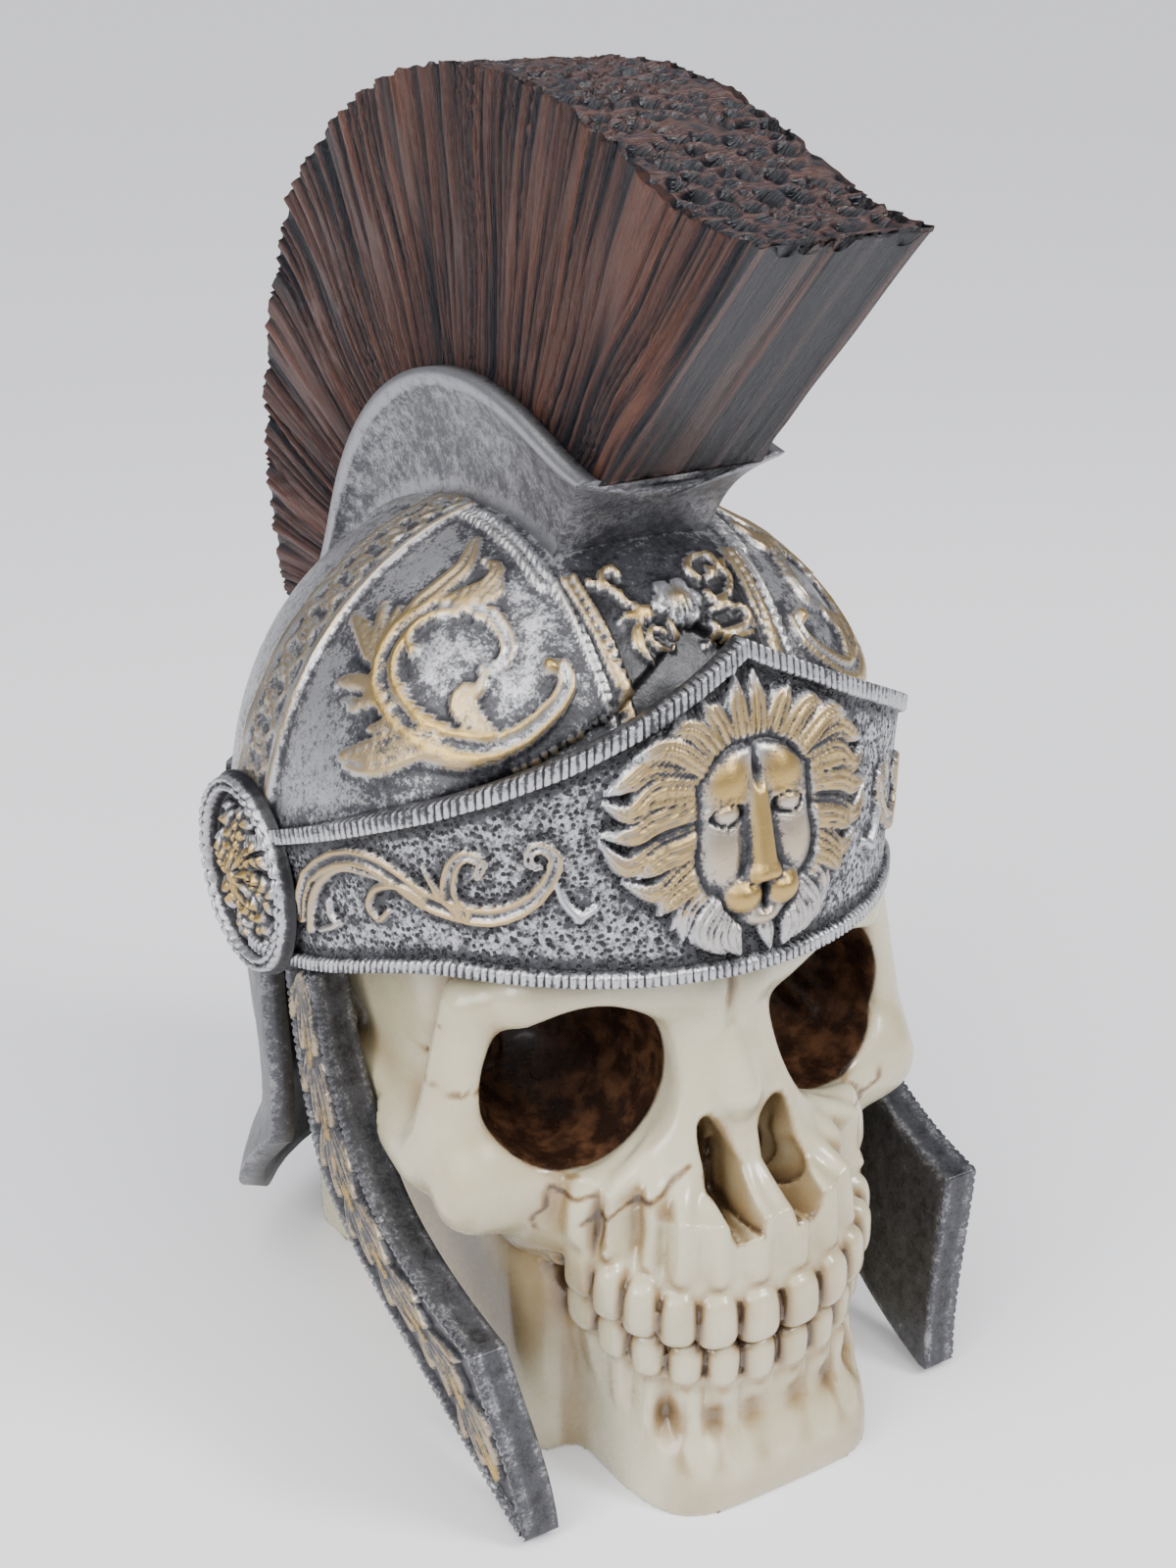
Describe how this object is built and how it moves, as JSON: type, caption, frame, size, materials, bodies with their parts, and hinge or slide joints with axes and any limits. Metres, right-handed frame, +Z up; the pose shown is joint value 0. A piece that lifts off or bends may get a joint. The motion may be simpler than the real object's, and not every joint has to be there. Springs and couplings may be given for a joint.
{
  "type": "helmeted skull figurine",
  "caption": "Cast skull ornament in an ancient parade helmet with a bristle crest, a pointed brow band with a lion's head, ear bosses, cheek guards and a neck guard.",
  "frame": {"origin": "on the ground, below the centre of the figurine's outline from above", "axes": "+Z up, and the face looks along -Y; the cheek guard named right is on -X"},
  "size_m": [0.1432, 0.1893, 0.2675],
  "materials": {
    "bone": "ivory bone paint with a brown wash, glossy",
    "antique_silver": "silver and gold rubbed over black",
    "bristle": "red-brown rubbed over black",
    "dark_silver": "silver rubbed over black"
  },
  "bodies": {
    "root": {"skull": "bone", "helmet": "antique_silver", "crest": "bristle", "cheek_guard_right": "dark_silver", "cheek_guard_left": "dark_silver"}
  },
  "joints": []
}
